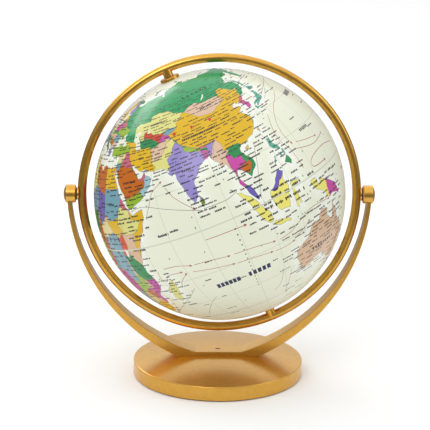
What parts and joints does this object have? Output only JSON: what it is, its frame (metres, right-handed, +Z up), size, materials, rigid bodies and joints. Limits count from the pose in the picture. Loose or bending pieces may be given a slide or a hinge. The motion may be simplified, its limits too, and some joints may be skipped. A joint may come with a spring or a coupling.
{
  "type": "desktop globe",
  "caption": "World globe that spins on its poles inside a full meridian ring, which swings in a crescent yoke on a round weighted base.",
  "frame": {"origin": "centre of the base's underside, where it rests on the table", "axes": "+Z up, +X along the swing axis from the left pivot to the right pivot, front towards -Y"},
  "size_m": [0.2476, 0.2, 0.2626],
  "materials": {
    "gold_paint": "satin",
    "cast_weight": "rough cast",
    "pad_foam": "matt",
    "plate_board": "matt black",
    "steel": "turned",
    "nylon": "matt",
    "bush_plastic": "matt",
    "shell_plastic": "smooth",
    "printed_map": "gloss laminate"
  },
  "bodies": {
    "root": {"base_cover": "gold_paint", "base_weight": "cast_weight", "base_plate": "plate_board", "base_pad": "pad_foam", "base_washer": "steel", "base_screw": "steel", "yoke": "gold_paint", "left_barrel": "gold_paint", "left_pivot_cap": "gold_paint", "left_pivot_pin": "steel", "left_thrust_washer": "nylon", "right_barrel": "gold_paint", "right_pivot_cap": "gold_paint", "right_pivot_pin": "steel", "right_thrust_washer": "nylon"},
    "ring": {"left_ring_bush": "gold_paint", "right_ring_bush": "gold_paint", "meridian_ring": "gold_paint", "north_post": "gold_paint", "north_pole_pin": "steel", "south_post": "gold_paint", "south_pole_pin": "steel"},
    "globe": {"north_shell": "shell_plastic", "north_map": "printed_map", "north_pole_bush": "bush_plastic", "north_pole_cap": "gold_paint", "south_shell": "shell_plastic", "south_map": "printed_map", "south_pole_bush": "bush_plastic", "south_pole_cap": "gold_paint", "joint_band": "shell_plastic"}
  },
  "joints": [
    {"name": "ring_tilt", "type": "hinge", "parent": "root", "child": "ring", "pos_m": [0, 0, 0.15], "axis": [1, 0, 0], "continuous": true},
    {"name": "globe_spin", "type": "hinge", "parent": "ring", "child": "globe", "pos_m": [0, 0, 0.15], "axis": [-0.3971, 0.0432, 0.9167], "continuous": true}
  ]
}
